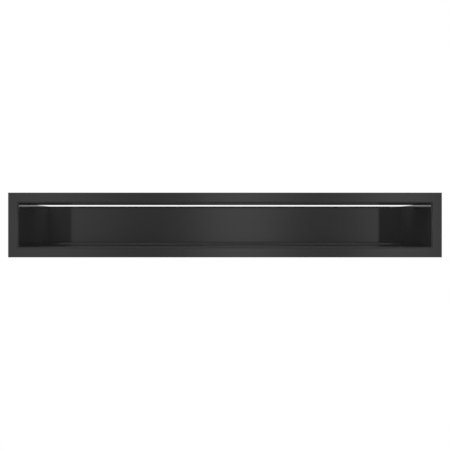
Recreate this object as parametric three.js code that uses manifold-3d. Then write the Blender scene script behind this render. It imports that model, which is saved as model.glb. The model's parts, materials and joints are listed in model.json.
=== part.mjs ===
// A warm-air slot for a fireplace breast: a flat face frame round a shallow steel tunnel that is closed
// behind by a back plate and open at the top rear, where warm air drops in. The welded tunnel slides into
// a sleeve that is bedded in the wall, and four leaf springs grip it there.
//
// Millimetres. X runs along the slot, Y goes into the wall and Z is up. The origin is the centre of the
// mouth, on the wall's surface, so the face frame lies just in front of Y = 0.
import * as THREE from "three";
import { mergeVertices } from "three/addons/utils/BufferGeometryUtils.js";
import Module from "manifold-3d";

// ---- Driving dimensions ----

const SEAM = 0.3; // gap left between sheets that meet
const FIT = 0.15; // gap left round a rivet

const FACE_WIDTH = 596;
const FACE_HEIGHT = 89;
const MOUTH_WIDTH = 567.2;
const MOUTH_HEIGHT = 60.2;
const TUNNEL_SHEET = 1.5;
const FACE_FOLD = 0.65; // inside radius of the fold round the mouth
const COLLAR_REAR = 12; // how far the folded collar reaches into the wall
const BEARING_START = 9; // outside this distance from the mouth, the frame's back bears on the wall

const ROOF_REAR = 77.3; // the roof stops here and leaves the air inlet open behind it
const ROOF_HEM = 10; // the roof's rear edge is folded back on itself by this much
const HEM_BEND = 0.15; // inside radius of that fold, which is all but closed
const PLATE_FRONT = 146.8;
const PLATE_TOP = 29.75;
const CHEEK_TOP = 29.95; // the cheeks' free edge beside the air inlet
const FLOOR_BEND = 2.25; // inside radius between the floor and the back plate
const SHEET_BEND = 0.5; // inside radius of the other folds
const LAP_WIDTH = 12; // cheek flanges that lap the roof, the floor and the back plate

const SLEEVE_WIDTH = 578; // inside
const SLEEVE_HEIGHT = 71; // inside
const SLEEVE_SHEET = 1.2;
const SLEEVE_REAR = 50;
const SLEEVE_LAP = 14; // the side walls lap the top and bottom walls by this much
const CORNER_RIVET_IN = 8; // from the sleeve's inner side
const CORNER_RIVET_YS = [13, 38];

const CLIP_SHEET = 0.6;
const CLIP_WIDTH = 20;
const CLIP_BEND = 1.5;
const CLIP_X = 180; // clips sit this far either side of the middle
const CLIP_REAR = 49;
const CLIP_RISE_START = 38;
const CLIP_CREST_Y = 25;
const CLIP_TIP_Y = 18;
const CLIP_STANDOFF = 0.4; // heights of the strip's underside above the tunnel
const CLIP_CREST = 2.95;
const CLIP_TIP = 2;
const CLIP_RIVET_Y = 43.5;
const CLIP_RIVET_SPACING = 11;

const LUG_WIDTH = 16;
const LUG_FRONT = 24;
const LUG_REAR = 43;
const LUG_RISE = 7; // height of the claw that the plaster grips
const LUG_BEND = 1;
const LUG_X = 100; // lugs on the top and bottom walls sit this far either side of the middle
const LUG_RIVET_YS = [28.5, 37];

const RIVET_RADIUS = 1.5;
const RIVET_HEAD_RADIUS = 3;
const RIVET_HEAD_HEIGHT = 1.1;
const RIVET_TAIL_RADIUS = 2.3;
const RIVET_TAIL_HEIGHT = 0.7;

const ROUND_STEPS = 12; // flats round a rivet
const BEND_STEPS = 4; // flats round a hidden fold
const SHOWN_BEND_STEPS = 8; // flats round a fold in plain view
const PAST = 1; // cutting tools run this far past what they cut

// Places that follow from them.
const mouthX = MOUTH_WIDTH / 2;
const mouthZ = MOUTH_HEIGHT / 2;
const border = (FACE_WIDTH - MOUTH_WIDTH) / 2;
const tunnelFront = COLLAR_REAR + SEAM;
const tunnelTop = mouthZ + TUNNEL_SHEET;
const sheetEnd = mouthX - SEAM; // the roof and the floor stop just short of the cheeks
const lapGap = SHEET_BEND; // a flange stands off the sheet it laps by its own bend radius
const lapTip = mouthX - LAP_WIDTH;
const sleeveX = SLEEVE_WIDTH / 2;
const sleeveZ = SLEEVE_HEIGHT / 2;
const sleeveTop = sleeveZ + SLEEVE_SHEET;
const sleeveSide = sleeveX + SLEEVE_SHEET;
const sleeveLap = sleeveTop + SEAM; // inner face of the side walls' flanges
const cornerRivetX = sleeveX - CORNER_RIVET_IN;

// ---- Materials ----

const finish = (color, metalness, roughness) => () =>
  new THREE.MeshStandardMaterial({ color, metalness, roughness });

const graphiteCoat = finish(0x35363a, 0.1, 0.3);
const springSteel = finish(0xb9b6ad, 1, 0.3);
const galvanised = finish(0x9aa0a3, 0.9, 0.5);
const zincPlate = finish(0xc4c6c4, 1, 0.35);

// ---- Solids ----

const wasm = await Module();
wasm.setup();

function solidOf(geometry) {
  const bare = geometry.clone();
  bare.deleteAttribute("normal");
  bare.deleteAttribute("uv");
  const merged = mergeVertices(bare, 1e-4);
  const mesh = new wasm.Mesh({
    numProp: 3,
    vertProperties: merged.attributes.position.array,
    triVerts: new Uint32Array(merged.index.array),
  });
  return new wasm.Manifold(mesh);
}

function geometryOf(solid) {
  const mesh = solid.getMesh();
  const geometry = new THREE.BufferGeometry();
  geometry.setAttribute("position", new THREE.BufferAttribute(mesh.vertProperties, 3));
  geometry.setIndex(new THREE.BufferAttribute(mesh.triVerts, 1));
  geometry.computeVertexNormals();
  return geometry;
}

function cut(geometry, tools) {
  const remove = (solid, tool) => solid.subtract(solidOf(tool));
  return geometryOf(tools.reduce(remove, solidOf(geometry)));
}

function join(...geometries) {
  return geometryOf(geometries.map(solidOf).reduce((sum, solid) => sum.add(solid)));
}

function block(low, high) {
  const size = high.map((value, i) => value - low[i]);
  const middle = high.map((value, i) => (value + low[i]) / 2);
  return new THREE.BoxGeometry(...size).translate(...middle);
}

// A straight extrusion of a drawing, whose two axes lie along the world axes that name the plane.
const DRAWING = {
  YZ: [[0, 1, 0], [0, 0, 1], [1, 0, 0]],
  ZX: [[0, 0, 1], [1, 0, 0], [0, 1, 0]],
  XY: [[1, 0, 0], [0, 1, 0], [0, 0, 1]],
};

function extrude(shape, plane, from, to) {
  const axes = DRAWING[plane].map((axis) => new THREE.Vector3(...axis));
  const turn = new THREE.Matrix4().makeBasis(...axes);
  const options = { depth: to - from, bevelEnabled: false };
  return new THREE.ExtrudeGeometry(shape, options).translate(0, 0, from).applyMatrix4(turn);
}

const STRAIGHT = 1e-6; // radians

// The edge view of a folded sheet. path follows the sheet's face, and the metal lies on the left of it,
// or on the right if thickness is negative. radius is the inside of each fold. A point in a straight run
// only marks a place.
function foldedSheet(path, thickness, radius, steps = BEND_STEPS) {
  const points = path.map(([u, v]) => new THREE.Vector2(u, v));
  const near = [];
  const far = [];
  const leftOf = (direction) => new THREE.Vector2(-direction.y, direction.x);
  const add = (point, direction) => {
    near.push(point.clone());
    far.push(point.clone().addScaledVector(leftOf(direction), thickness));
  };
  const directions = points.slice(1).map((point, i) => point.clone().sub(points[i]).normalize());
  add(points[0], directions[0]);
  for (let i = 1; i < points.length - 1; i += 1) {
    const [before, after] = [directions[i - 1], directions[i]];
    const angle = Math.atan2(before.cross(after), before.dot(after));
    if (Math.abs(angle) < STRAIGHT) {
      add(points[i], before);
      continue;
    }
    const facesOut = Math.sign(angle) === Math.sign(thickness);
    const faceRadius = facesOut ? radius + Math.abs(thickness) : radius;
    const reach = faceRadius * Math.tan(Math.abs(angle) / 2);
    const start = points[i].clone().addScaledVector(before, -reach);
    const centre = start.clone().addScaledVector(leftOf(before), Math.sign(angle) * faceRadius);
    for (let step = 0; step <= steps; step += 1) {
      const part = (angle * step) / steps;
      const direction = before.clone().rotateAround(new THREE.Vector2(), part);
      add(start.clone().rotateAround(centre, part), direction);
    }
  }
  add(points.at(-1), directions.at(-1));
  const outline = near.concat(far.reverse());
  return new THREE.Shape(THREE.ShapeUtils.isClockWise(outline) ? outline.reverse() : outline);
}

// A section carried round the mouth with mitred corners. The section's first axis is the distance out
// from the mouth's inner face and its second is Y.
function sweepRoundMouth(shape) {
  const section = shape.getPoints();
  const corners = [[1, 1], [-1, 1], [-1, -1], [1, -1]];
  const positions = section.flatMap(({ x: out, y }) =>
    corners.flatMap(([sx, sz]) => [sx * (mouthX + out), y, sz * (mouthZ + out)]),
  );
  const index = [];
  for (let i = 0; i < section.length; i += 1) {
    const here = 4 * i;
    const next = 4 * ((i + 1) % section.length);
    for (let corner = 0; corner < 4; corner += 1) {
      const turned = (corner + 1) % 4;
      index.push(here + corner, next + corner, next + turned);
      index.push(here + corner, next + turned, here + turned);
    }
  }
  const geometry = new THREE.BufferGeometry();
  geometry.setAttribute("position", new THREE.Float32BufferAttribute(positions, 3));
  geometry.setIndex(index);
  return geometry.toNonIndexed();
}

// A round cutting tool along Z.
function drill(x, y, low, high, radius = RIVET_RADIUS + FIT) {
  const tool = new THREE.CylinderGeometry(radius, radius, high - low, ROUND_STEPS);
  return tool.rotateX(Math.PI / 2).translate(x, y, (low + high) / 2);
}

// ---- The scene graph ----

const model = new THREE.Group();

function addPiece(parent, name, geometry, finishOf) {
  const mesh = new THREE.Mesh(geometry, finishOf());
  mesh.name = name;
  parent.add(mesh);
  return mesh;
}

// A group on one of the four walls round the tunnel, at that distance from the middle. Its own Z points
// away from the tunnel, and along places it along the wall.
const WALLS = {
  top: { turn: 0, x: 0, z: 1 },
  bottom: { turn: Math.PI, x: 0, z: -1 },
  right: { turn: Math.PI / 2, x: 1, z: 0 },
  left: { turn: -Math.PI / 2, x: -1, z: 0 },
};

function onWall(wall, distance, along) {
  const { turn, x, z } = WALLS[wall];
  const group = new THREE.Group();
  group.rotation.y = turn;
  group.position.set(x * distance + Math.abs(z) * along, 0, z * distance + Math.abs(x) * along);
  model.add(group);
  return group;
}

const LONG_WALLS = ["top", "bottom"];
const SIDES = { left: -1, right: 1 };

// ---- Rivets ----

// A domed head above Z = grip and, unless it is set flush, a flattened tail below Z = 0.
function rivet(grip, flush = false) {
  const tail = [
    [0, -RIVET_TAIL_HEIGHT],
    [RIVET_TAIL_RADIUS, -RIVET_TAIL_HEIGHT],
    [RIVET_TAIL_RADIUS, 0],
  ];
  const shank = [
    [RIVET_RADIUS, 0],
    [RIVET_RADIUS, grip],
  ];
  const head = [
    [RIVET_HEAD_RADIUS, grip],
    [0.85 * RIVET_HEAD_RADIUS, grip + 0.6 * RIVET_HEAD_HEIGHT],
    [0.45 * RIVET_HEAD_RADIUS, grip + RIVET_HEAD_HEIGHT],
    [0, grip + RIVET_HEAD_HEIGHT],
  ];
  const outline = [...(flush ? [[0, 0]] : tail), ...shank, ...head];
  const points = outline.map(([r, h]) => new THREE.Vector2(r, h));
  return new THREE.LatheGeometry(points, ROUND_STEPS).rotateX(Math.PI / 2);
}

// A pair of rivets along Y through a wall and what lies on it, from depth below the wall's outer face.
function addRivetPair(group, prefix, ys, depth, grip) {
  ["front", "rear"].forEach((end, i) => {
    addPiece(group, `${prefix}_rivet_${end}`, rivet(grip).translate(0, ys[i], -depth), zincPlate);
  });
}

// ---- The insert: five sheets welded edge to edge ----

function faceFrame() {
  const front = -TUNNEL_SHEET;
  const path = [[border, front], [BEARING_START, front], [0, front], [0, COLLAR_REAR]];
  return sweepRoundMouth(foldedSheet(path, -TUNNEL_SHEET, FACE_FOLD, SHOWN_BEND_STEPS));
}

function clipHoles(low, high) {
  const offsets = [-CLIP_RIVET_SPACING / 2, CLIP_RIVET_SPACING / 2];
  return [-CLIP_X, CLIP_X].flatMap((x) =>
    offsets.map((offset) => drill(x + offset, CLIP_RIVET_Y, low, high)),
  );
}

// The hem along the roof's rear edge stops short of the cheeks' flanges, and the sheet runs on past it
// at both ends, sheared square.
function tunnelRoof() {
  const hemRadius = HEM_BEND + TUNNEL_SHEET;
  const hemRear = ROOF_REAR + hemRadius;
  const hemTop = mouthZ + 2 * hemRadius + 0.02;
  const hemFront = ROOF_REAR - ROOF_HEM;
  const path = [[tunnelFront, mouthZ], [hemRear, mouthZ], [hemRear, hemTop], [hemFront, hemTop]];
  const profile = foldedSheet(path, TUNNEL_SHEET, HEM_BEND, SHOWN_BEND_STEPS);
  const sheet = extrude(profile, "YZ", -sheetEnd, sheetEnd);
  const hemEnd = lapTip - 2;
  const ends = Object.values(SIDES).flatMap((side) => {
    const [from, to] = [side * hemEnd, side * mouthX].sort((a, b) => a - b);
    const top = hemTop + PAST;
    return [
      block([from, ROOF_REAR, mouthZ - PAST], [to, hemRear + PAST, top]),
      block([from, hemFront - PAST, tunnelTop + HEM_BEND], [to, ROOF_REAR + PAST, top]),
    ];
  });
  return cut(sheet, [...ends, ...clipHoles(mouthZ - PAST, tunnelTop + PAST)]);
}

function floorAndBackPlate() {
  const path = [[tunnelFront, -mouthZ], [PLATE_FRONT, -mouthZ], [PLATE_FRONT, PLATE_TOP]];
  const profile = foldedSheet(path, -TUNNEL_SHEET, FLOOR_BEND, SHOWN_BEND_STEPS);
  const sheet = extrude(profile, "YZ", -sheetEnd, sheetEnd);
  return cut(sheet, clipHoles(-tunnelTop - PAST, -mouthZ + PAST));
}

// The right-hand cheek: a channel that laps the roof and the floor, joined to a web whose rear is folded
// behind the back plate. The heel closes the web's lower rear corner, where the two folds meet.
function cheek() {
  const lapZ = tunnelTop + lapGap;
  const lapY = PLATE_FRONT + TUNNEL_SHEET + lapGap;
  const outerX = mouthX + TUNNEL_SHEET;
  const outerY = lapY + TUNNEL_SHEET;
  const outerZ = lapZ + TUNNEL_SHEET;
  const bendStart = PLATE_FRONT - FLOOR_BEND;
  const channelPath = [[-lapZ, lapTip], [-lapZ, mouthX], [lapZ, mouthX], [lapZ, lapTip]];
  const webPath = [[mouthX, tunnelFront], [mouthX, lapY], [lapTip, lapY]];
  const channel = foldedSheet(channelPath, TUNNEL_SHEET, SHEET_BEND);
  const web = foldedSheet(webPath, -TUNNEL_SHEET, SHEET_BEND);
  const heelRear = PLATE_FRONT + TUNNEL_SHEET;
  const whole = join(
    extrude(channel, "ZX", tunnelFront + PAST, bendStart - PAST),
    extrude(web, "XY", -mouthZ, CHEEK_TOP),
    block([mouthX, bendStart - 2 * PAST, -outerZ], [outerX, heelRear, -mouthZ + PAST]),
  );
  const inlet = block([lapTip - PAST, ROOF_REAR, CHEEK_TOP], [outerX + PAST, outerY + PAST, outerZ + PAST]);
  const reliefTop = -mouthZ + FLOOR_BEND + TUNNEL_SHEET;
  const relief = block([lapTip - PAST, lapY - PAST, -mouthZ - PAST], [sheetEnd, outerY + PAST, reliefTop]);
  return cut(whole, [inlet, relief]);
}

addPiece(model, "face_frame", faceFrame(), graphiteCoat);
addPiece(model, "tunnel_roof", tunnelRoof(), graphiteCoat);
addPiece(model, "floor_and_back_plate", floorAndBackPlate(), graphiteCoat);
addPiece(model, "right_cheek", cheek(), graphiteCoat);
addPiece(model, "left_cheek", cheek(), graphiteCoat).scale.x = -1;

// ---- Leaf springs that grip the sleeve ----

// Drawn on top of the tunnel: flat under the rivets, then rising to a crest and dipping to the tip. Its
// holes are wide enough for the strip to rock by a few degrees.
function leafSpring() {
  const path = [
    [CLIP_TIP_Y, CLIP_TIP],
    [CLIP_CREST_Y, CLIP_CREST],
    [CLIP_RISE_START, CLIP_STANDOFF],
    [CLIP_REAR, CLIP_STANDOFF],
  ];
  const profile = foldedSheet(path, CLIP_SHEET, CLIP_BEND);
  const strip = extrude(profile, "YZ", -CLIP_WIDTH / 2, CLIP_WIDTH / 2);
  const holes = Object.values(SIDES).map((side) =>
    drill((side * CLIP_RIVET_SPACING) / 2, CLIP_RIVET_Y, 0, CLIP_CREST, RIVET_RADIUS + 2 * SEAM),
  );
  return cut(strip, holes);
}

for (const wall of LONG_WALLS) {
  for (const [side, sign] of Object.entries(SIDES)) {
    const name = `${wall}_${side}_clip`;
    const group = onWall(wall, tunnelTop, sign * CLIP_X);
    addPiece(group, name, leafSpring(), springSteel);
    const grip = TUNNEL_SHEET + CLIP_STANDOFF + CLIP_SHEET + SEAM;
    ["a", "b"].forEach((letter, i) => {
      const x = (i - 0.5) * CLIP_RIVET_SPACING;
      const shape = rivet(grip, true).translate(x, CLIP_RIVET_Y, -TUNNEL_SHEET);
      addPiece(group, `${name}_rivet_${letter}`, shape, graphiteCoat);
    });
  }
}

// ---- The sleeve: four walls riveted at the corners, with plaster lugs ----

const LUG_PLACES = [
  { name: "top_left_lug", wall: "top", along: -LUG_X },
  { name: "top_right_lug", wall: "top", along: LUG_X },
  { name: "bottom_left_lug", wall: "bottom", along: -LUG_X },
  { name: "bottom_right_lug", wall: "bottom", along: LUG_X },
  { name: "left_lug", wall: "left", along: 0 },
  { name: "right_lug", wall: "right", along: 0 },
];

function lugHoles(wall, low, high) {
  const here = LUG_PLACES.filter((place) => place.wall === wall);
  return here.flatMap(({ along }) => LUG_RIVET_YS.map((y) => drill(along, y, low, high)));
}

// The top wall, which the bottom one repeats upside down.
function longWall() {
  const end = sleeveX - SEAM;
  const sheet = block([-end, SEAM, sleeveZ], [end, SLEEVE_REAR, sleeveTop]);
  const [low, high] = [sleeveZ - PAST, sleeveTop + PAST];
  const corners = [-cornerRivetX, cornerRivetX].flatMap((x) =>
    CORNER_RIVET_YS.map((y) => drill(x, y, low, high)),
  );
  return cut(sheet, [...corners, ...lugHoles("top", low, high)]);
}

// The right-hand wall, folded over the long walls at both ends.
function sideWall() {
  const tip = sleeveX - SLEEVE_LAP;
  const path = [[-sleeveLap, tip], [-sleeveLap, sleeveX], [sleeveLap, sleeveX], [sleeveLap, tip]];
  const sheet = extrude(foldedSheet(path, SLEEVE_SHEET, SHEET_BEND), "ZX", SEAM, SLEEVE_REAR);
  const reach = sleeveLap + SLEEVE_SHEET + PAST;
  const corners = CORNER_RIVET_YS.map((y) => drill(cornerRivetX, y, -reach, reach));
  const lugs = lugHoles("right", sleeveX - PAST, sleeveSide + PAST);
  return cut(sheet, [...corners, ...lugs.map((tool) => tool.rotateY(Math.PI / 2))]);
}

addPiece(model, "sleeve_top", longWall(), galvanised);
addPiece(model, "sleeve_bottom", longWall(), galvanised).rotation.y = Math.PI;
addPiece(model, "sleeve_right", sideWall(), galvanised);
addPiece(model, "sleeve_left", sideWall(), galvanised).scale.x = -1;

for (const wall of LONG_WALLS) {
  for (const [side, sign] of Object.entries(SIDES)) {
    const group = onWall(wall, sleeveTop, sign * cornerRivetX);
    const grip = 2 * SLEEVE_SHEET + SEAM + 2 * FIT;
    addRivetPair(group, `${wall}_${side}_corner`, CORNER_RIVET_YS, SLEEVE_SHEET + FIT, grip);
  }
}

function lug() {
  const path = [[LUG_FRONT, SEAM], [LUG_REAR, SEAM], [LUG_REAR, SEAM + LUG_RISE]];
  const profile = foldedSheet(path, SLEEVE_SHEET, LUG_BEND);
  const strip = extrude(profile, "YZ", -LUG_WIDTH / 2, LUG_WIDTH / 2);
  return cut(strip, LUG_RIVET_YS.map((y) => drill(0, y, SEAM - PAST, SEAM + SLEEVE_SHEET + PAST)));
}

for (const { name, wall, along } of LUG_PLACES) {
  const group = onWall(wall, LONG_WALLS.includes(wall) ? sleeveTop : sleeveSide, along);
  addPiece(group, name, lug(), galvanised);
  const grip = 2 * SLEEVE_SHEET + SEAM + 2 * FIT;
  addRivetPair(group, name, LUG_RIVET_YS, SLEEVE_SHEET + FIT, grip);
}

export default model;
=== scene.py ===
"""A graphite warm-air slot: a face frame round a shallow steel tunnel, with its spring clips and the
wall sleeve that they grip. Metres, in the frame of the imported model: X along the slot, Y into the wall,
Z up."""
import json
import math

import bmesh
import bpy
from mathutils import Matrix, Vector


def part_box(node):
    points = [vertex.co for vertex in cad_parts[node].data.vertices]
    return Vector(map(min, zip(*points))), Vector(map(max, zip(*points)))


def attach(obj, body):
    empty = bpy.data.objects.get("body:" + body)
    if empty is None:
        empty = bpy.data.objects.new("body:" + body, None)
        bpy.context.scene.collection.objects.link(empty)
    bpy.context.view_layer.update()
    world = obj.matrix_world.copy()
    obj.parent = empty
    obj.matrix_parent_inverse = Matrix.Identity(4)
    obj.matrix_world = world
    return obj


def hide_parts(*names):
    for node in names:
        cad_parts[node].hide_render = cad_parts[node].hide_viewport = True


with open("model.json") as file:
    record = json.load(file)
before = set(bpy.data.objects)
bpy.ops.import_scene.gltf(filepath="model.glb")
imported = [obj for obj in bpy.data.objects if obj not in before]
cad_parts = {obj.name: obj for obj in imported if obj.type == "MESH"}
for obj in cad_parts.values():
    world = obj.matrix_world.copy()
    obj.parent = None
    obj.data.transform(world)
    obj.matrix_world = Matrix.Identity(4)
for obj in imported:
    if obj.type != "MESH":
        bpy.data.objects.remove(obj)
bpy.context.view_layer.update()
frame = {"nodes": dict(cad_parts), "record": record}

MM = 0.001

# ---- Places, read from the frame ----

FACE_LOW, FACE_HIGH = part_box("face_frame")
ROOF_LOW, ROOF_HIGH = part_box("tunnel_roof")
FLOOR_LOW, FLOOR_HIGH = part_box("floor_and_back_plate")
CHEEK_LOW, CHEEK_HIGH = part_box("right_cheek")
SIDE_LOW, SIDE_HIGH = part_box("sleeve_right")
LONG_LOW, LONG_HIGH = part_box("sleeve_top")
CLIP_LOW, CLIP_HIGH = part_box("top_right_clip")
LUG_LOW, LUG_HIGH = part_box("top_right_lug")

MOUTH_Z = ROOF_LOW.z
TUNNEL_SHEET = -FLOOR_LOW.z - MOUTH_Z
MOUTH_X = CHEEK_HIGH.x - TUNNEL_SHEET
COLLAR_REAR = FACE_HIGH.y  # the sheets behind are butted to the collar here
PLATE_FRONT = FLOOR_HIGH.y - TUNNEL_SHEET
PLATE_TOP = FLOOR_HIGH.z
TUNNEL_TOP = MOUTH_Z + TUNNEL_SHEET  # the outer side of its roof

SLEEVE_SHEET = LONG_HIGH.z - LONG_LOW.z
SLEEVE_FRONT = LONG_LOW.y
SLEEVE_REAR = LONG_HIGH.y
SLEEVE_X = SIDE_HIGH.x - SLEEVE_SHEET  # the inner face of its side wall
SLEEVE_LAP_Z = SIDE_HIGH.z - SLEEVE_SHEET  # and of the flange that laps the top wall

BODY_OF = {node: body for body, nodes in frame["record"]["behaviour"]["bodies"].items() for node in nodes}

# ---- Sizes that the frame doesn't give ----

FACE_FOLD = 0.65 * MM  # inside radius round the mouth
ROOF_REAR = 77.3 * MM  # where the roof's flat underside ends and its hem turns over
ROOF_HEM = 10 * MM
ROOF_DROOP = 0.33 * MM  # assumed: the hemmed edge hangs this far below the front of the roof
HEM_BEND = 0.15 * MM
HEM_SHORT = 2 * MM  # the hem stops this far short of the cheeks' flanges
CHEEK_TOP = 29.95 * MM
FLOOR_BEND = 2.25 * MM
COAT_BUILD = 0.13 * MM  # assumed: powder coat gathered on the back plate's top edge
SHEET_BEND = 0.5 * MM
CHANNEL_INSET = 1 * MM  # the cheeks' lower flanges stop this far before the floor's bend
HEEL_LAP = 1 * MM  # how far the heel of a cheek runs into the rest of it

CLIP_BEND = 1.5 * MM
CLIP_SHEET = 0.6 * MM
CLIP_PATH = [(18, 2), (25, 2.95), (38, 0.4), (49, 0.4)]  # mm: into the wall, and above the tunnel
CLIP_HOLE = 2.1 * MM
CLIP_RIVET_SPACING = 11 * MM
CLIP_RIVET_SKIN = 0.3 * MM  # the coat hides the ends of the clips' rivets, this far into the sheet
CLIP_RIVET_GAP = 0.06 * MM  # left between such a rivet's end and that skin
CLIP_CORNER = 2.5 * MM
CLIP_CUT = (-3 * MM, 5 * MM)  # its corner cutters reach this low and high, past the bent strip

LUG_BEND = 1 * MM
LUG_CORNER = 3 * MM

RIVET_RADIUS = 1.5 * MM
RIVET_HOLE = 1.65 * MM
RIVET_HEAD_RADIUS = 3 * MM
RIVET_HEAD_HEIGHT = 1.1 * MM
RIVET_BRIM = 0.2 * MM
RIVET_TAIL_RADIUS = 2.3 * MM
RIVET_TAIL_HEIGHT = 0.7 * MM
MANDREL_RADIUS = 0.9 * MM
MANDREL_DEPTH = 0.45 * MM

SPOT_RADIUS = 2.7 * MM  # the mark that a spot welder's electrode presses into a flange
SPOT_FLOOR = 2.3 * MM
SPOT_DEPTH = 0.25 * MM
SPOT_PITCH = 25 * MM
STITCH_LENGTH = 14 * MM  # the short welds that join the collar to the sheets behind it
STITCH_RADIUS = 1.1 * MM
STITCH_SUNK = 0.25 * MM
STITCH_BLUNT = 4  # the power of the way along that thins its ends: 2 would make them round
STITCH_PITCH = 92 * MM
RIPPLE_PITCH = 1.4 * MM
RIPPLE_SHARE = 0.07  # how much a ripple swells the bead, as a share of its radius

SOFT_EDGE = 0.25 * MM  # how far powder coat, or a worn shear, rounds a sheet's edges
PAST = 1 * MM  # cutting tools run this far past what they cut
CORNER_SLACK = 1.05  # a corner cutter's arc is this much wider than the corner that it leaves

# How many flat steps each kind of round shape is made in.
BEND_STEPS = 14
EDGE_STEPS = 2
ROUND_STEPS = 28
CORNER_STEPS = 6
STITCH_STEPS = 20
RIPPLE_STEPS = 6
TAIL_STEPS = 6
DOME_STEPS = 8

# ---- Small helpers ----


def linear(colour):
    """The linear RGBA of an sRGB hex colour."""
    channels = [int(colour[i : i + 2], 16) / 255 for i in (1, 3, 5)]
    curve = [c / 12.92 if c <= 0.04045 else ((c + 0.055) / 1.055) ** 2.4 for c in channels]
    return (*curve, 1.0)


def add(tree, kind, inputs=None, **settings):
    """A new node of that kind with its settings. An input is given a value, or an output to link to."""
    node = tree.nodes.new(kind)
    for setting, value in settings.items():
        setattr(node, setting, value)
    for socket, value in (inputs or {}).items():
        if isinstance(value, bpy.types.NodeSocket):
            tree.links.new(value, node.inputs[socket])
        else:
            node.inputs[socket].default_value = value
    return node


def new_surface(name):
    """A material with an empty node tree, and the object's own coordinates in it."""
    material = bpy.data.materials.new(name)
    material.use_nodes = True
    tree = material.node_tree
    tree.nodes.clear()
    place = add(tree, "ShaderNodeTexCoord").outputs["Object"]
    return material, tree, place


# ---- Materials ----

# Most of a noise pattern's values lie between these.
NOISE_LOW = 0.3
NOISE_HIGH = 0.7


def graphite_powder_coat():
    """Polyester powder coat, sprayed and oven cured on steel: a dark neutral grey with a clear, smooth
    gloss that mirrors the room softly, and an orange peel too faint to break up the reflections."""
    material, tree, place = new_surface("graphite_powder_coat")
    patch_size = 90 * MM  # a sprayed sheet's slow changes of tone and gloss
    peel_size = 2.5 * MM
    peel_height = 0.0008 * MM
    cloud = add(tree, "ShaderNodeTexNoise", {"Vector": place, "Scale": 1 / patch_size, "Detail": 3.0})
    peel = add(tree, "ShaderNodeTexNoise", {"Vector": place, "Scale": 1 / peel_size, "Detail": 1.0})
    colour = add(tree, "ShaderNodeValToRGB", {"Fac": cloud.outputs["Fac"]})
    colour.color_ramp.elements[0].position = 0.35
    colour.color_ramp.elements[0].color = linear("#282828")
    colour.color_ramp.elements[1].position = 0.65
    colour.color_ramp.elements[1].color = linear("#2b2b2b")
    gloss = add(
        tree,
        "ShaderNodeMapRange",
        {
            "Value": cloud.outputs["Fac"],
            "From Min": NOISE_LOW,
            "From Max": NOISE_HIGH,
            "To Min": 0.07,
            "To Max": 0.09,
        },
    )
    bump = add(
        tree, "ShaderNodeBump", {"Height": peel.outputs["Fac"], "Strength": 1.0, "Distance": peel_height}
    )
    shader = add(
        tree,
        "ShaderNodeBsdfPrincipled",
        {
            "Base Color": colour.outputs["Color"],
            "Roughness": gloss.outputs["Result"],
            "IOR": 1.5,
            "Normal": bump.outputs["Normal"],
        },
    )
    add(tree, "ShaderNodeOutputMaterial", {"Surface": shader.outputs[0]})
    return material


def stainless_spring_strip():
    """Cold-rolled stainless spring strip: a bright, faintly warm grey, a little cloudy from the rolls, with
    fine rolling lines along the strip that stretch its highlights across it."""
    material, tree, place = new_surface("stainless_spring_strip")
    line_width = 0.5 * MM  # a few hundredths of a millimetre on real strip, drawn coarser to show
    line_length = 40 * MM
    line_height = 0.01 * MM
    patch_size = 14 * MM
    stretch = (1 / line_width, 1 / line_length, 1 / line_length)
    along = add(tree, "ShaderNodeMapping", {"Vector": place, "Scale": stretch})
    lines = add(tree, "ShaderNodeTexNoise", {"Vector": along.outputs[0], "Scale": 1.0, "Detail": 2.0})
    cloud = add(tree, "ShaderNodeTexNoise", {"Vector": place, "Scale": 1 / patch_size, "Detail": 2.0})
    colour = add(tree, "ShaderNodeValToRGB", {"Fac": cloud.outputs["Fac"]})
    colour.color_ramp.elements[0].position = NOISE_LOW
    colour.color_ramp.elements[0].color = linear("#aeaca6")
    colour.color_ramp.elements[1].position = NOISE_HIGH
    colour.color_ramp.elements[1].color = linear("#c2beb6")
    sheen = add(
        tree,
        "ShaderNodeMapRange",
        {
            "Value": lines.outputs["Fac"],
            "From Min": NOISE_LOW,
            "From Max": NOISE_HIGH,
            "To Min": 0.24,
            "To Max": 0.42,
        },
    )
    bump = add(tree, "ShaderNodeBump", {"Height": lines.outputs["Fac"], "Distance": line_height})
    shader = add(
        tree,
        "ShaderNodeBsdfPrincipled",
        {
            "Base Color": colour.outputs["Color"],
            "Metallic": 1.0,
            "Roughness": sheen.outputs["Result"],
            "Normal": bump.outputs["Normal"],
        },
    )
    add(tree, "ShaderNodeOutputMaterial", {"Surface": shader.outputs[0]})
    return material


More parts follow.
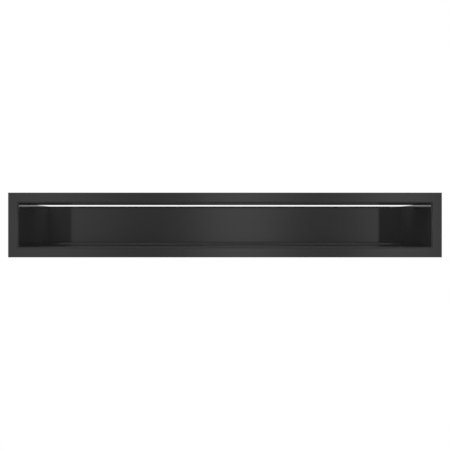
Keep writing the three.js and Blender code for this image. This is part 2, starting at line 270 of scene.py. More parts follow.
def galvanised_sheet():
    """Hot-dip galvanised steel sheet: pale bluish-grey zinc frozen into flat crystals, the spangle, each a
    little lighter or duller than the next, so that the sheet looks broken into dim facets."""
    material, tree, place = new_surface("galvanised_sheet")
    crystal_size = 9 * MM
    crystal_height = 0.02 * MM
    wander_size = 6 * MM  # of the turns in the crystals' borders
    wander_reach = 3 * MM
    wander = add(tree, "ShaderNodeTexNoise", {"Vector": place, "Scale": 1 / wander_size, "Detail": 2.0})
    bent = add(
        tree,
        "ShaderNodeVectorMath",
        {0: wander.outputs["Color"], 1: (wander_reach, wander_reach, wander_reach), 2: place},
        operation="MULTIPLY_ADD",
    )
    spangle = add(
        tree, "ShaderNodeTexVoronoi", {"Vector": bent.outputs[0], "Scale": 1 / crystal_size}, feature="F1"
    )
    tone = add(tree, "ShaderNodeSeparateColor", {"Color": spangle.outputs["Color"]}).outputs
    colour = add(tree, "ShaderNodeValToRGB", {"Fac": tone["Red"]})
    colour.color_ramp.elements[0].color = linear("#8d9296")
    colour.color_ramp.elements[1].color = linear("#b3b7b9")
    dull = add(tree, "ShaderNodeMapRange", {"Value": tone["Green"], "To Min": 0.34, "To Max": 0.56})
    bump = add(
        tree,
        "ShaderNodeBump",
        {"Height": spangle.outputs["Distance"], "Strength": 0.6, "Distance": crystal_height},
    )
    shader = add(
        tree,
        "ShaderNodeBsdfPrincipled",
        {
            "Base Color": colour.outputs["Color"],
            "Metallic": 1.0,
            "Roughness": dull.outputs["Result"],
            "Normal": bump.outputs["Normal"],
        },
    )
    add(tree, "ShaderNodeOutputMaterial", {"Surface": shader.outputs[0]})
    return material


def zinc_plated_rivet():
    """Bright zinc plate on steel: a clean, slightly blue silver, rubbed duller in soft patches by the
    setting tool."""
    material, tree, place = new_surface("zinc_plated_rivet")
    rub_size = 1.2 * MM
    rub = add(tree, "ShaderNodeTexNoise", {"Vector": place, "Scale": 1 / rub_size, "Detail": 3.0})
    colour = add(tree, "ShaderNodeValToRGB", {"Fac": rub.outputs["Fac"]})
    colour.color_ramp.elements[0].position = NOISE_LOW
    colour.color_ramp.elements[0].color = linear("#b4b8bb")
    colour.color_ramp.elements[1].position = NOISE_HIGH
    colour.color_ramp.elements[1].color = linear("#cfd2d3")
    dull = add(
        tree,
        "ShaderNodeMapRange",
        {
            "Value": rub.outputs["Fac"],
            "From Min": NOISE_LOW,
            "From Max": NOISE_HIGH,
            "To Min": 0.2,
            "To Max": 0.38,
        },
    )
    shader = add(
        tree,
        "ShaderNodeBsdfPrincipled",
        {"Base Color": colour.outputs["Color"], "Metallic": 1.0, "Roughness": dull.outputs["Result"]},
    )
    add(tree, "ShaderNodeOutputMaterial", {"Surface": shader.outputs[0]})
    return material


# ---- Folded sheets ----

QUARTER = math.pi / 2
AXES = {"X": Vector((1, 0, 0)), "Y": Vector((0, 1, 0)), "Z": Vector((0, 0, 1))}


def left_of(direction):
    """That direction turned a quarter turn anticlockwise."""
    return Vector((-direction.y, direction.x))


def anticlockwise(outline):
    """The outline's points, in the other order if they run clockwise."""
    area = sum(a.cross(b) for a, b in zip(outline, outline[1:] + outline[:1]))
    return outline if area > 0 else outline[::-1]


def sheet_end(end, inward, across, thickness, inset, soft):
    """Points round one end of a sheet, from its face to its back. inward runs back along the sheet."""
    if not soft:
        return [end + across * inset, end + across * (thickness - inset)]
    reach = SOFT_EDGE - inset
    rounding = [QUARTER * step / EDGE_STEPS for step in range(EDGE_STEPS + 1)]
    corners = [(SOFT_EDGE, -reach, rounding[::-1]), (thickness - SOFT_EDGE, reach, rounding)]
    return [
        end + inward * (SOFT_EDGE - reach * math.cos(angle)) + across * (centre + swing * math.sin(angle))
        for centre, swing, angles in corners
        for angle in angles
    ]


def folded_sheet(path, thickness, radius, inset=0.0, soft=(True, True)):
    """The edge view of a folded sheet, drawn inset inside its true outline, anticlockwise. path follows the
    sheet's face, and the metal lies on the left of it, or on the right if thickness is negative. radius
    is the inside of each fold. soft says which of the two ends is rounded rather than square."""
    points = [Vector(point) for point in path]
    side = math.copysign(1, thickness)
    depth = abs(thickness)
    directions = [(after - before).normalized() for before, after in zip(points, points[1:])]
    face = []
    back = []
    for point, before, after in zip(points[1:], directions, directions[1:]):
        angle = math.atan2(before.cross(after), before.dot(after))
        face_radius = radius + depth if angle * side > 0 else radius
        start = point - before * face_radius * math.tan(abs(angle) / 2)
        centre = start + left_of(before) * math.copysign(face_radius, angle)
        for step in range(BEND_STEPS + 1):
            turn = Matrix.Rotation(angle * step / BEND_STEPS, 2)
            on_face = centre + turn @ (start - centre)
            across = left_of(turn @ before) * side
            face.append(on_face + across * inset)
            back.append(on_face + across * (depth - inset))
    first = sheet_end(points[0], directions[0], left_of(directions[0]) * side, depth, inset, soft[0])
    last = sheet_end(points[-1], -directions[-1], left_of(directions[-1]) * side, depth, inset, soft[1])
    return anticlockwise(first[::-1] + face + last + back[::-1])


def new_piece(name, shape):
    """An object holding the bmesh, which is used up."""
    mesh = bpy.data.meshes.new(name)
    shape.to_mesh(mesh)
    shape.free()
    piece = bpy.data.objects.new(name, mesh)
    bpy.context.scene.collection.objects.link(piece)
    return piece


def loft(name, loops, closed=False):
    """A skin through loops of points, each with as many points as the next, in an order that turns
    anticlockwise seen from the last loop. It is capped at both ends, or joins its last loop to its
    first."""
    shape = bmesh.new()
    rows = [[shape.verts.new(point) for point in loop] for loop in loops]
    count = len(rows[0])
    pairs = zip(rows, rows[1:] + rows[:1]) if closed else zip(rows, rows[1:])
    for row, ahead in pairs:
        for i in range(count):
            j = (i + 1) % count
            shape.faces.new((row[i], row[j], ahead[j], ahead[i]))
    if not closed:
        shape.faces.new(rows[0][::-1])
        shape.faces.new(rows[-1])
    return new_piece(name, shape)


def stations(start, end, soft=(True, True)):
    """Places along an extrusion, each with how far its section is drawn in to round the edges there."""
    rounding = [QUARTER * step / EDGE_STEPS for step in range(EDGE_STEPS + 1)]
    curve = [(SOFT_EDGE * (1 - math.cos(a)), SOFT_EDGE * (1 - math.sin(a))) for a in rounding]
    first = [(start + along, inset) for along, inset in curve] if soft[0] else [(start, 0.0)]
    last = [(end - along, inset) for along, inset in curve[::-1]] if soft[1] else [(end, 0.0)]
    return first + last


def extruded_sheet(name, path, thickness, radius, plane, span, soft=(True, True), soft_sides=(True, True)):
    """A folded sheet. Its path's two axes lie along the axes that name the plane, and span is its two ends
    along the third. soft and soft_sides say which edges are rounded: the path's ends, and the span's."""
    u, v = (AXES[letter] for letter in plane)
    w = u.cross(v)
    loops = []
    for along, inset in stations(*span, soft_sides):
        outline = folded_sheet(path, thickness, radius, inset, soft)
        loops.append([u * point.x + v * point.y + w * along for point in outline])
    return loft(name, loops)


def block(low, high):
    """A cutting or filling block between two corners."""
    shape = bmesh.new()
    bmesh.ops.create_cube(shape, size=1)
    low, high = Vector(low), Vector(high)
    middle = (low + high) / 2
    size = high - low
    shape.transform(Matrix.Translation(middle) @ Matrix.Diagonal((*size, 1)))
    return new_piece("block", shape)


def turned(name, profile, matrix):
    """A shape turned round Z of that matrix. Its profile is radii and levels, from the lower end up."""
    shape = bmesh.new()
    rings = []
    for radius, level in profile:
        ring = []
        for step in range(ROUND_STEPS):
            angle = 2 * math.pi * step / ROUND_STEPS
            ring.append(shape.verts.new((radius * math.cos(angle), radius * math.sin(angle), level)))
        rings.append(ring)
    for ring, above in zip(rings, rings[1:]):
        for i in range(ROUND_STEPS):
            j = (i + 1) % ROUND_STEPS
            shape.faces.new((ring[i], ring[j], above[j], above[i]))
    shape.faces.new(rings[0][::-1])
    shape.faces.new(rings[-1])
    shape.transform(matrix)
    return new_piece(name, shape)


def drill(matrix, radius, low, high):
    """A round cutting tool along Z of that matrix."""
    return turned("drill", [(radius, low), (radius, high)], matrix)


def corner_cutter(matrix, corner, radius, low, high):
    """A tool along Z of that matrix that rounds a corner, which points away from the matrix's origin. Its
    arc is a little too wide, so that it crosses the sheet's edges and doesn't graze them."""
    out_x, out_y = (math.copysign(1, place) for place in corner)
    inner = Vector((corner[0] - out_x * radius, corner[1] - out_y * radius))
    outer = Vector((corner[0] + out_x * PAST, corner[1] + out_y * PAST))
    outline = []
    for step in range(CORNER_STEPS + 1):
        angle = QUARTER * step / CORNER_STEPS
        spoke = Vector((out_x * math.cos(angle), out_y * math.sin(angle)))
        outline.append(inner + CORNER_SLACK * radius * spoke)
    outline += [Vector((inner.x, outer.y)), outer, Vector((outer.x, inner.y))]
    section = [matrix @ point.to_3d() for point in anticlockwise(outline)]
    upward = matrix.to_3x3() @ AXES["Z"]
    loops = [[point + upward * level for point in section] for level in (low, high)]
    return loft("corner_cutter", loops)


def boolean(piece, tools, operation="DIFFERENCE"):
    """Cuts the tools out of the piece, or joins them to it, and uses them up."""
    for tool in tools:
        modifier = piece.modifiers.new(operation.lower(), "BOOLEAN")
        modifier.operation = operation
        modifier.solver = "EXACT"
        modifier.object = tool
    apply_modifiers(piece)
    for tool in tools:
        bpy.data.objects.remove(tool)
    return piece


def apply_modifiers(piece):
    """Gives the piece the mesh that its modifiers make of it, and takes them off."""
    bpy.context.view_layer.update()
    seen = piece.evaluated_get(bpy.context.evaluated_depsgraph_get())
    mesh = bpy.data.meshes.new_from_object(seen)
    piece.modifiers.clear()
    piece.data = mesh


def mirror(piece):
    """Turns a piece made for the right-hand side into the left-hand one."""
    piece.data.transform(Matrix.Scale(-1, 4, AXES["X"]))
    piece.data.flip_normals()


SHARP = math.radians(50)  # creases sharper than this stay crisp, and softer ones are shaded round


def settle(piece, material, slot, *nodes):
    """Gives a finished piece its finish and its shading, and puts it in the place of those CAD nodes."""
    piece.data.materials.clear()
    piece.data.materials.append(material)
    piece.data.shade_smooth()
    piece.data.set_sharp_from_angle(angle=SHARP)
    shading = piece.modifiers.new("shading", "WEIGHTED_NORMAL")
    shading.keep_sharp = True
    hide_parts(*nodes)
    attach(piece, BODY_OF[nodes[0]])


# ---- Places on the walls ----

# Turns about Y that take Z, the way out from the tunnel, to each wall's own way out.
WALL_TURNS = {"top": 0, "bottom": 180, "right": 90, "left": -90}


def on_wall(node):
    """The wall that a CAD node is fixed to is the first word of its name. This gives the place on that
    wall of the node's inner side, with Z pointing away from the tunnel, and how high the node stands."""
    wall = node.split("_")[0]
    low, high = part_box(node)
    turn = Matrix.Rotation(math.radians(WALL_TURNS[wall]), 4, "Y")
    outward = turn.to_3x3() @ AXES["Z"]
    middle = (low + high) / 2
    height = abs((high - low).dot(outward))
    base = middle - outward * height / 2
    return Matrix.Translation(base) @ turn, height


def depth_of(node):
    """How far into the wall the middle of a CAD node is."""
    low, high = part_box(node)
    return (low.y + high.y) / 2


def rivet_holes(nodes, skin=None):
    """Tools for the holes that those rivets fill: right through, or leaving that skin on the inside."""
    tools = []
    for node in nodes:
        place, height = on_wall(node)
        tools.append(drill(place, RIVET_HOLE, -height if skin is None else skin, 2 * height))
    return tools


# ---- The insert's sheets ----


def evenly(low, high, pitch):
    """Places at about that pitch between two ends, half a step in from each."""
    count = max(1, round((high - low) / pitch))
    return [low + (high - low) * (i + 0.5) / count for i in range(count)]


def weld_stitch(place):
    """A short rippled bead along X of that matrix, sunk a little below its origin, where Z is outward."""
    half = STITCH_LENGTH / 2
    count = round(RIPPLE_STEPS * STITCH_LENGTH / RIPPLE_PITCH)
    loops = []
    for station in range(1, count):
        along = half * (2 * station / count - 1)
        taper = math.sqrt(1 - (along / half) ** STITCH_BLUNT)
        ripple = 1 + RIPPLE_SHARE * math.cos(2 * math.pi * along / RIPPLE_PITCH)
        radius = STITCH_RADIUS * taper * ripple
        loop = []
        for step in range(STITCH_STEPS):
            angle = 2 * math.pi * step / STITCH_STEPS
            height = radius * math.sin(angle) - STITCH_SUNK
            loop.append(place @ Vector((along, radius * math.cos(angle), height)))
        loops.append(loop)
    return loft("weld_stitch", loops)


def mouth_frame():
    """The face frame: one sheet, cut out in the middle and folded in round the mouth to a collar."""
    front = FACE_LOW.y
    border = FACE_HIGH.x - MOUTH_X
    path = [(border, front), (0, front), (0, COLLAR_REAR)]
    outline = folded_sheet(path, -TUNNEL_SHEET, FACE_FOLD, soft=(True, False))
    corners = [(1, 1), (-1, 1), (-1, -1), (1, -1)]
    loops = [
        [(x * (MOUTH_X + out), y, z * (MOUTH_Z + out)) for out, y in outline] for x, z in corners
    ]
    stitches = []
    for turns, half_width, height in ((0, MOUTH_X, TUNNEL_TOP), (1, MOUTH_Z, CHEEK_HIGH.x)):
        for side in (0, 2):
            wall = Matrix.Rotation(QUARTER * (turns + side), 4, "Y")
            for along in evenly(-half_width, half_width, STITCH_PITCH):
                stitches.append(weld_stitch(wall @ Matrix.Translation((along, COLLAR_REAR, height))))
    return boolean(loft("mouth_frame", loops, closed=True), stitches, "UNION")


def clip_rivets(wall):
    """The CAD nodes of the rivets that hold the clips on that wall of the tunnel."""
    return [node for node in frame["nodes"] if node.startswith(wall) and "_clip_rivet_" in node]


def hemmed_roof():
    """The roof: its rear edge is folded back on itself above, and stops short of the cheeks' flanges."""
    hem_radius = HEM_BEND + TUNNEL_SHEET
    hem_rear = ROOF_REAR + hem_radius
    hem_top = ROOF_HIGH.z
    hem_front = ROOF_REAR - ROOF_HEM
    droop_z = MOUTH_Z - ROOF_DROOP
    path = [(COLLAR_REAR, MOUTH_Z), (hem_rear, droop_z), (hem_rear, hem_top), (hem_front, hem_top)]
    roof = extruded_sheet(
        "hemmed_roof",
        path,
        TUNNEL_SHEET,
        HEM_BEND,
        "YZ",
        (-MOUTH_X, MOUTH_X),
        soft=(False, True),
        soft_sides=(False, False),
    )
    hem_end = CHEEK_LOW.x - HEM_SHORT
    top = hem_top + PAST
    tools = []
    # At each side the turn of the hem is cut away, and so is the hem above the roof.
    for side in (-1, 1):
        left, right = sorted((side * hem_end, side * (MOUTH_X + PAST)))
        tools.append(block((left, ROOF_REAR, MOUTH_Z - PAST), (right, hem_rear + PAST, top)))
        above_roof = (left, hem_front - PAST, TUNNEL_TOP + HEM_BEND / 2)
        tools.append(block(above_roof, (right, ROOF_REAR + PAST, top)))
    return boolean(roof, tools + rivet_holes(clip_rivets("top"), CLIP_RIVET_SKIN))


def floor_and_plate():
    """The floor and the back plate, one sheet with a wide bend between them."""
    top = PLATE_TOP + COAT_BUILD
    path = [(COLLAR_REAR, -MOUTH_Z), (PLATE_FRONT, -MOUTH_Z), (PLATE_FRONT, top)]
    sheet = extruded_sheet(
        "floor_and_plate",
        path,
        -TUNNEL_SHEET,
        FLOOR_BEND,
        "YZ",
        (-MOUTH_X, MOUTH_X),
        soft=(False, True),
        soft_sides=(False, False),
    )
    return boolean(sheet, rivet_holes(clip_rivets("bottom"), CLIP_RIVET_SKIN))


def spot_mark(place, outward):
    """A tool for the shallow round mark that a spot welder's electrode leaves on a surface."""
    matrix = Matrix.Translation(place) @ outward.to_track_quat("Z", "Y").to_matrix().to_4x4()
    profile = [(SPOT_FLOOR, -SPOT_DEPTH), (SPOT_RADIUS, 0.0), (SPOT_RADIUS, PAST)]
    return turned("spot_mark", profile, matrix)


def folded_cheek(name, side):
    """A cheek: its flanges lap the roof, the floor and the back plate from outside."""
    lap_tip = CHEEK_LOW.x
    lap_z = CHEEK_HIGH.z - TUNNEL_SHEET
    lap_y = CHEEK_HIGH.y - TUNNEL_SHEET
    bend_start = PLATE_FRONT - FLOOR_BEND
    channel_path = [(-lap_z, lap_tip), (-lap_z, MOUTH_X), (lap_z, MOUTH_X), (lap_z, lap_tip)]
    web_path = [(MOUTH_X, COLLAR_REAR), (MOUTH_X, lap_y), (lap_tip, lap_y)]
    channel = extruded_sheet(
        "channel",
        channel_path,
        TUNNEL_SHEET,
        SHEET_BEND,
        "ZX",
        (COLLAR_REAR, bend_start - CHANNEL_INSET),
        soft_sides=(False, True),
    )
    web = extruded_sheet(
        name,
        web_path,
        -TUNNEL_SHEET,
        SHEET_BEND,
        "XY",
        (-MOUTH_Z, CHEEK_TOP),
        soft=(False, True),
        soft_sides=(False, True),
    )
    # The heel carries the cheek's sheet down past the end of the floor's bend.
    heel = block(
        (MOUTH_X, bend_start - CHANNEL_INSET - HEEL_LAP, CHEEK_LOW.z),
        (CHEEK_HIGH.x, FLOOR_HIGH.y, -MOUTH_Z + HEEL_LAP),
    )
    cheek = boolean(web, [channel, heel], "UNION")
    # Behind the roof the cheek is cut down for the inlet, and its rear flange clears the floor's bend.
    inlet = block(
        (lap_tip - PAST, ROOF_REAR, CHEEK_TOP),
        (CHEEK_HIGH.x + PAST, CHEEK_HIGH.y + PAST, CHEEK_HIGH.z + PAST),
    )
    relief = block(
        (lap_tip - PAST, lap_y - PAST, -MOUTH_Z - PAST),
        (MOUTH_X, CHEEK_HIGH.y + PAST, -MOUTH_Z + FLOOR_BEND + TUNNEL_SHEET),
    )
    lap_middle = (lap_tip + MOUTH_X) / 2
    marks = []
    for along in evenly(COLLAR_REAR, ROOF_REAR, SPOT_PITCH):
        marks.append(spot_mark(Vector((lap_middle, along, CHEEK_HIGH.z)), AXES["Z"]))
    for along in evenly(COLLAR_REAR, bend_start, SPOT_PITCH):
        marks.append(spot_mark(Vector((lap_middle, along, -CHEEK_HIGH.z)), -AXES["Z"]))
    for height in evenly(-MOUTH_Z + FLOOR_BEND, CHEEK_TOP, SPOT_PITCH):
        marks.append(spot_mark(Vector((lap_middle, CHEEK_HIGH.y, height)), AXES["Y"]))
    boolean(cheek, [inlet, relief, *marks])
    if side < 0:
        mirror(cheek)
    return cheek


# ---- What is fixed to the walls round the tunnel ----


def blind_rivet(node, tail, material, slot):
    """A set blind rivet: a domed flange with the broken mandrel down its middle, and a flattened tail."""
    place, height = on_wall(node)
    grip_top = height - RIVET_HEAD_HEIGHT
    grip_low = RIVET_TAIL_HEIGHT if tail else CLIP_RIVET_SKIN + CLIP_RIVET_GAP
    profile = []
    if tail:
        bulge = RIVET_TAIL_HEIGHT / 2
        for step in range(TAIL_STEPS + 1):
            angle = math.pi * (step / TAIL_STEPS - 0.5)
            radius = RIVET_TAIL_RADIUS - bulge * (1 - math.cos(angle))
            profile.append((radius, bulge * (1 + math.sin(angle))))
    profile.append((RIVET_RADIUS, grip_low))
    profile.append((RIVET_RADIUS, grip_top))
    profile.append((RIVET_HEAD_RADIUS - RIVET_BRIM / 2, grip_top))
    profile.append((RIVET_HEAD_RADIUS, grip_top + RIVET_BRIM / 2))
    dome = RIVET_HEAD_HEIGHT - RIVET_BRIM
    last = math.acos(MANDREL_RADIUS / RIVET_HEAD_RADIUS)
    for step in range(DOME_STEPS + 1):
        angle = last * step / DOME_STEPS
        rise = dome * math.sin(angle) / math.sin(last)
        profile.append((RIVET_HEAD_RADIUS * math.cos(angle), grip_top + RIVET_BRIM + rise))
    profile.append((MANDREL_RADIUS, height - MANDREL_DEPTH))
    settle(turned(f"blind_rivet.{node}", profile, place), material, slot, node)


def leaf_spring(node, material):
    """A strip of spring steel: flat under its rivets, then rising to a crest and dipping to its tip."""
    place, _ = on_wall(node)
    wide = (CLIP_HIGH.x - CLIP_LOW.x) / 2
    middle = depth_of(node)
    base = CLIP_PATH[-1][1]
    path = [(into * MM - middle, (above - base) * MM) for into, above in CLIP_PATH]
    strip = extruded_sheet(f"leaf_spring.{node}", path, CLIP_SHEET, CLIP_BEND, "YZ", (-wide, wide))
    along = depth_of(f"{node}_rivet_a") - middle
    holes = []
    corners = []
    for side in (-1, 1):
        rivet = Matrix.Translation((side * CLIP_RIVET_SPACING / 2, along, 0))
        holes.append(drill(rivet, CLIP_HOLE, -PAST, CLIP_SHEET + PAST))
        for end in (path[0][0], path[-1][0]):
            corners.append(corner_cutter(Matrix(), (side * wide, end), CLIP_CORNER, *CLIP_CUT))
    boolean(strip, holes + corners)
    strip.data.transform(place)
    settle(strip, material, "spring_steel", node)


def plaster_lug(node, material):
    """A strap riveted to the sleeve, whose bent claw the plaster grips."""
    place, height = on_wall(node)
    reach = (LUG_HIGH.y - LUG_LOW.y) / 2
    wide = (LUG_HIGH.x - LUG_LOW.x) / 2
    path = [(-reach, 0), (reach, 0), (reach, height)]
    strap = extruded_sheet(f"plaster_lug.{node}", path, SLEEVE_SHEET, LUG_BEND, "YZ", (-wide, wide))
    holes = []
    for end in ("front", "rear"):
        along = depth_of(f"{node}_rivet_{end}") - depth_of(node)
        holes.append(drill(Matrix.Translation((0, along, 0)), RIVET_HOLE, -PAST, SLEEVE_SHEET + PAST))
    upright = Matrix.Rotation(QUARTER, 4, "X")
    corners = []
    lying = (-PAST, SLEEVE_SHEET + PAST)
    standing = (-reach - PAST, -reach / 2)
    for side in (-1, 1):
        corners.append(corner_cutter(Matrix(), (side * wide, -reach), LUG_CORNER, *lying))
        corners.append(corner_cutter(upright, (side * wide, height), LUG_CORNER, *standing))
    boolean(strap, holes + corners)
    strap.data.transform(place)
    settle(strap, material, "galvanised_sheet", node)


def long_wall(node, material, rivets):
    """The sleeve's top or bottom wall: a flat strip."""
    low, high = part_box(node)
    path = [(SLEEVE_FRONT, low.z), (SLEEVE_REAR, low.z)]
    wall = extruded_sheet(f"flat_wall.{node}", path, SLEEVE_SHEET, SHEET_BEND, "YZ", (low.x, high.x))
    boolean(wall, rivet_holes(rivets))
    settle(wall, material, "galvanised_sheet", node)


def side_wall(node, side, material, rivets):
    """A side wall of the sleeve, folded over the long walls at both ends."""
    tip = SIDE_LOW.x
    path = [(-SLEEVE_LAP_Z, tip), (-SLEEVE_LAP_Z, SLEEVE_X), (SLEEVE_LAP_Z, SLEEVE_X), (SLEEVE_LAP_Z, tip)]
    span = (SLEEVE_FRONT, SLEEVE_REAR)
    wall = extruded_sheet(f"folded_wall.{node}", path, SLEEVE_SHEET, SHEET_BEND, "ZX", span)
    if side < 0:
        mirror(wall)
    boolean(wall, rivet_holes(rivets))
    settle(wall, material, "galvanised_sheet", node)


# ---- The scene round the object ----

CAMERA_DISTANCE = 0.8585  # from the front of the face frame
CAMERA_LENS = 50  # mm
CAMERA_SENSOR = 36  # mm

FLOOR_DROP = 0.555  # below the object, which hangs level with the camera
FLOOR_RADIUS = 0.95
FLOOR_FORWARD = 0.2  # the floor's middle is this far in front of the wall's surface
FLOOR_SIDES = 96
FADE_START = 0.3  # shares of the radius between which the floor fades into the white round it
FADE_END = 0.95

# Each lamp's place, the place that it faces, the width of its square, and the light that it gives there,
# of which 1 would show a matt surface at its own colour.
LAMPS = {
    "overhead": ((0, 0.1, 1.8), (0, 0.1, 0), 0.35, 0.2),
    "high_key": ((-0.6, -1.0, 1.4), (0, 0, 0), 1.2, 0.4),
    "left_side": ((-2.1, -1.1, 0), (0, 0, 0), 1.0, 0.12),
    "right_side": ((2.1, -1.1, 0), (0, 0, 0), 1.0, 0.15),
}

# The soft reflector panels in front of the object and at its sides. Each has its azimuth and its
# half-width in degrees, the sine of its half-height's elevation, and its radiance.
PANELS = [
    (-68, 26, 0.5, 1.0),
    (-16.2, 7.8, 0.2, 0.60),
    (1.6, 5.5, 0.2, 0.85),
    (15.6, 4.8, 0.2, 0.80),
    (66, 28, 0.5, 0.98),
]
STUDIO_BELT = 0.19  # radiance between the panels
STUDIO_CAPS = 0.95  # and high above and far below them
CAP_START = 0.7  # sines of the elevations between which the belt turns into the caps
CAP_FULL = 0.95
STUDIO_BACK = 1.0  # the white backdrop behind the object
BACKDROP_BLEND = 0.1  # sine of the angle, either side of the wall's plane, where front turns into back


def camera():
    """The camera stands level with the middle of the mouth and looks straight into it."""
    data = bpy.data.cameras.new("camera")
    data.lens = CAMERA_LENS
    data.sensor_width = CAMERA_SENSOR
    eye = bpy.data.objects.new("camera", data)
    eye.location = (0, FACE_LOW.y - CAMERA_DISTANCE, 0)
    eye.rotation_euler = (QUARTER, 0, 0)
    bpy.context.scene.collection.objects.link(eye)
    bpy.context.scene.camera = eye


def bell(tree, value, middle, half_width):
    """An output that is 1 where the value is at the middle, and falls smoothly on both sides, to 1/e at
    the half-width."""
    off = add(tree, "ShaderNodeMath", {0: value, 1: middle}, operation="SUBTRACT").outputs[0]
    share = add(tree, "ShaderNodeMath", {0: off, 1: half_width}, operation="DIVIDE").outputs[0]
    square = add(tree, "ShaderNodeMath", {0: share, 1: share}, operation="MULTIPLY").outputs[0]
    fall = add(tree, "ShaderNodeMath", {0: square, 1: -1.0}, operation="MULTIPLY").outputs[0]
    return add(tree, "ShaderNodeMath", {0: fall}, operation="EXPONENT").outputs[0]


def studio_world():
    """White where the camera looks past the object or through it. All other rays meet a soft studio: a
    white backdrop behind, and in front a dim belt with soft panels, between pale areas above and below."""
    world = bpy.data.worlds.new("studio")
    world.use_nodes = True
    tree = world.node_tree
    tree.nodes.clear()
    direction = add(tree, "ShaderNodeTexCoord").outputs["Generated"]
    axes = add(tree, "ShaderNodeSeparateXYZ", {"Vector": direction}).outputs
    forward = add(tree, "ShaderNodeMath", {0: axes["Y"], 1: -1.0}, operation="MULTIPLY").outputs[0]
    azimuth = add(tree, "ShaderNodeMath", {0: axes["X"], 1: forward}, operation="ARCTAN2").outputs[0]
    steep = add(tree, "ShaderNodeMath", {0: axes["Z"]}, operation="ABSOLUTE").outputs[0]
    front = add(
        tree,
        "ShaderNodeMapRange",
        {
            "Value": steep,
            "From Min": CAP_START,
            "From Max": CAP_FULL,
            "To Min": STUDIO_BELT,
            "To Max": STUDIO_CAPS,
        },
        interpolation_type="SMOOTHSTEP",
    ).outputs["Result"]
    for angle, half_width, half_height, radiance in PANELS:
        across = bell(tree, azimuth, math.radians(angle), math.radians(half_width))
        upward = bell(tree, axes["Z"], 0.0, half_height)
        spot = add(tree, "ShaderNodeMath", {0: across, 1: upward}, operation="MULTIPLY").outputs[0]
        glow = add(tree, "ShaderNodeMath", {0: spot, 1: radiance}, operation="MULTIPLY").outputs[0]
        front = add(tree, "ShaderNodeMath", {0: front, 1: glow}, operation="ADD").outputs[0]
    behind = add(
        tree,
        "ShaderNodeMapRange",
        {"Value": axes["Y"], "From Min": -BACKDROP_BLEND, "From Max": BACKDROP_BLEND},
        interpolation_type="SMOOTHSTEP",
    ).outputs["Result"]
    studio = add(tree, "ShaderNodeMix", {"Factor": behind, "A": front, "B": STUDIO_BACK}).outputs["Result"]
    rays = add(tree, "ShaderNodeLightPath").outputs
    direct = add(
        tree,
        "ShaderNodeMath",
        {0: rays["Is Camera Ray"], 1: rays["Is Transmission Ray"]},
        operation="MAXIMUM",
    ).outputs[0]
    strength = add(tree, "ShaderNodeMix", {"Factor": direct, "A": studio, "B": 1.0}).outputs["Result"]
    background = add(tree, "ShaderNodeBackground", {"Color": (1, 1, 1, 1), "Strength": strength})
    add(tree, "ShaderNodeOutputWorld", {"Surface": background.outputs[0]})
    bpy.context.scene.world = world


def soft_light(name, place, aim, size, irradiance):
    """A square lamp that gives a surface facing it at the aim that irradiance, in units of pi. It isn't
    seen in reflections, which show the world's panels alone."""
    data = bpy.data.lights.new(name, "AREA")
    data.shape = "SQUARE"
    data.size = size
    toward = Vector(aim) - Vector(place)
    data.energy = irradiance * math.pi**2 * toward.length_squared
    lamp = bpy.data.objects.new(name, data)
    lamp.location = place
    lamp.rotation_euler = toward.to_track_quat("-Z", "Y").to_euler()
    lamp.visible_glossy = False
    bpy.context.scene.collection.objects.link(lamp)


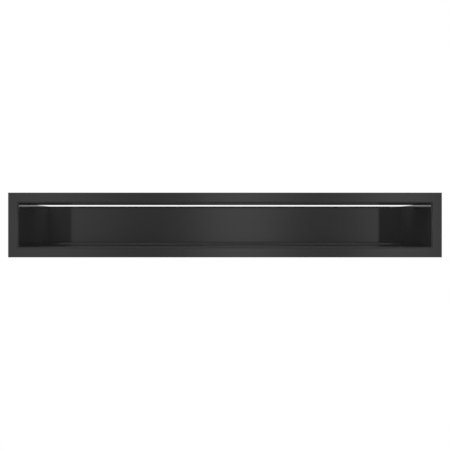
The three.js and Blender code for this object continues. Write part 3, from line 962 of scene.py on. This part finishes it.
def studio_floor():
    """A pale matt board that fades into the white round it."""
    board = bmesh.new()
    bmesh.ops.create_circle(board, cap_ends=True, segments=FLOOR_SIDES, radius=FLOOR_RADIUS)
    floor = new_piece("floor", board)
    floor.location = (0, -FLOOR_FORWARD, FACE_LOW.z - FLOOR_DROP)
    material, tree, place = new_surface("pale_matt_board")
    reach = add(tree, "ShaderNodeVectorMath", {0: place}, operation="LENGTH").outputs["Value"]
    fade = add(
        tree,
        "ShaderNodeMapRange",
        {"Value": reach, "From Min": FADE_START * FLOOR_RADIUS, "From Max": FADE_END * FLOOR_RADIUS},
        interpolation_type="SMOOTHSTEP",
    )
    matt = add(tree, "ShaderNodeBsdfDiffuse", {"Color": linear("#f6f6f6")})
    white = add(tree, "ShaderNodeEmission", {"Color": (1, 1, 1, 1), "Strength": 1.0})
    share = fade.outputs["Result"]
    mixed = add(tree, "ShaderNodeMixShader", {"Fac": share, 1: matt.outputs[0], 2: white.outputs[0]})
    # Only the camera sees the board. In reflections the studio's soft light goes on below the object.
    unseen = add(tree, "ShaderNodeBsdfTransparent")
    seen = add(tree, "ShaderNodeLightPath").outputs["Is Camera Ray"]
    shown = add(tree, "ShaderNodeMixShader", {"Fac": seen, 1: unseen.outputs[0], 2: mixed.outputs[0]})
    add(tree, "ShaderNodeOutputMaterial", {"Surface": shown.outputs[0]})
    floor.data.materials.append(material)


# ---- Build ----

camera()
studio_world()
for name, lamp in LAMPS.items():
    soft_light(name, *lamp)
studio_floor()

coat = graphite_powder_coat()
spring = stainless_spring_strip()
galvanised = galvanised_sheet()
zinc = zinc_plated_rivet()

settle(mouth_frame(), coat, "graphite_powder_coat", "face_frame")
settle(hemmed_roof(), coat, "graphite_powder_coat", "tunnel_roof")
settle(floor_and_plate(), coat, "graphite_powder_coat", "floor_and_back_plate")
settle(folded_cheek("cheek.right", 1), coat, "graphite_powder_coat", "right_cheek")
settle(folded_cheek("cheek.left", -1), coat, "graphite_powder_coat", "left_cheek")

rivets = [node for node in frame["nodes"] if "_rivet_" in node]
for node in rivets:
    if "_clip_" in node:
        blind_rivet(node, False, coat, "graphite_powder_coat")
    else:
        blind_rivet(node, True, zinc, "zinc_plated_rivet")
for node in frame["nodes"]:
    if node.endswith("_clip"):
        leaf_spring(node, spring)
    elif node.endswith("_lug"):
        plaster_lug(node, galvanised)

sleeve_rivets = [node for node in rivets if "_clip_" not in node]
for wall in ("top", "bottom"):
    long_wall(f"sleeve_{wall}", galvanised, [node for node in sleeve_rivets if node.startswith(wall)])
for wall, side in (("left", -1), ("right", 1)):
    own = [node for node in sleeve_rivets if node.startswith(wall) or f"_{wall}_corner_" in node]
    side_wall(f"sleeve_{wall}", side, galvanised, own)

bpy.context.scene.view_settings.view_transform = "Standard"
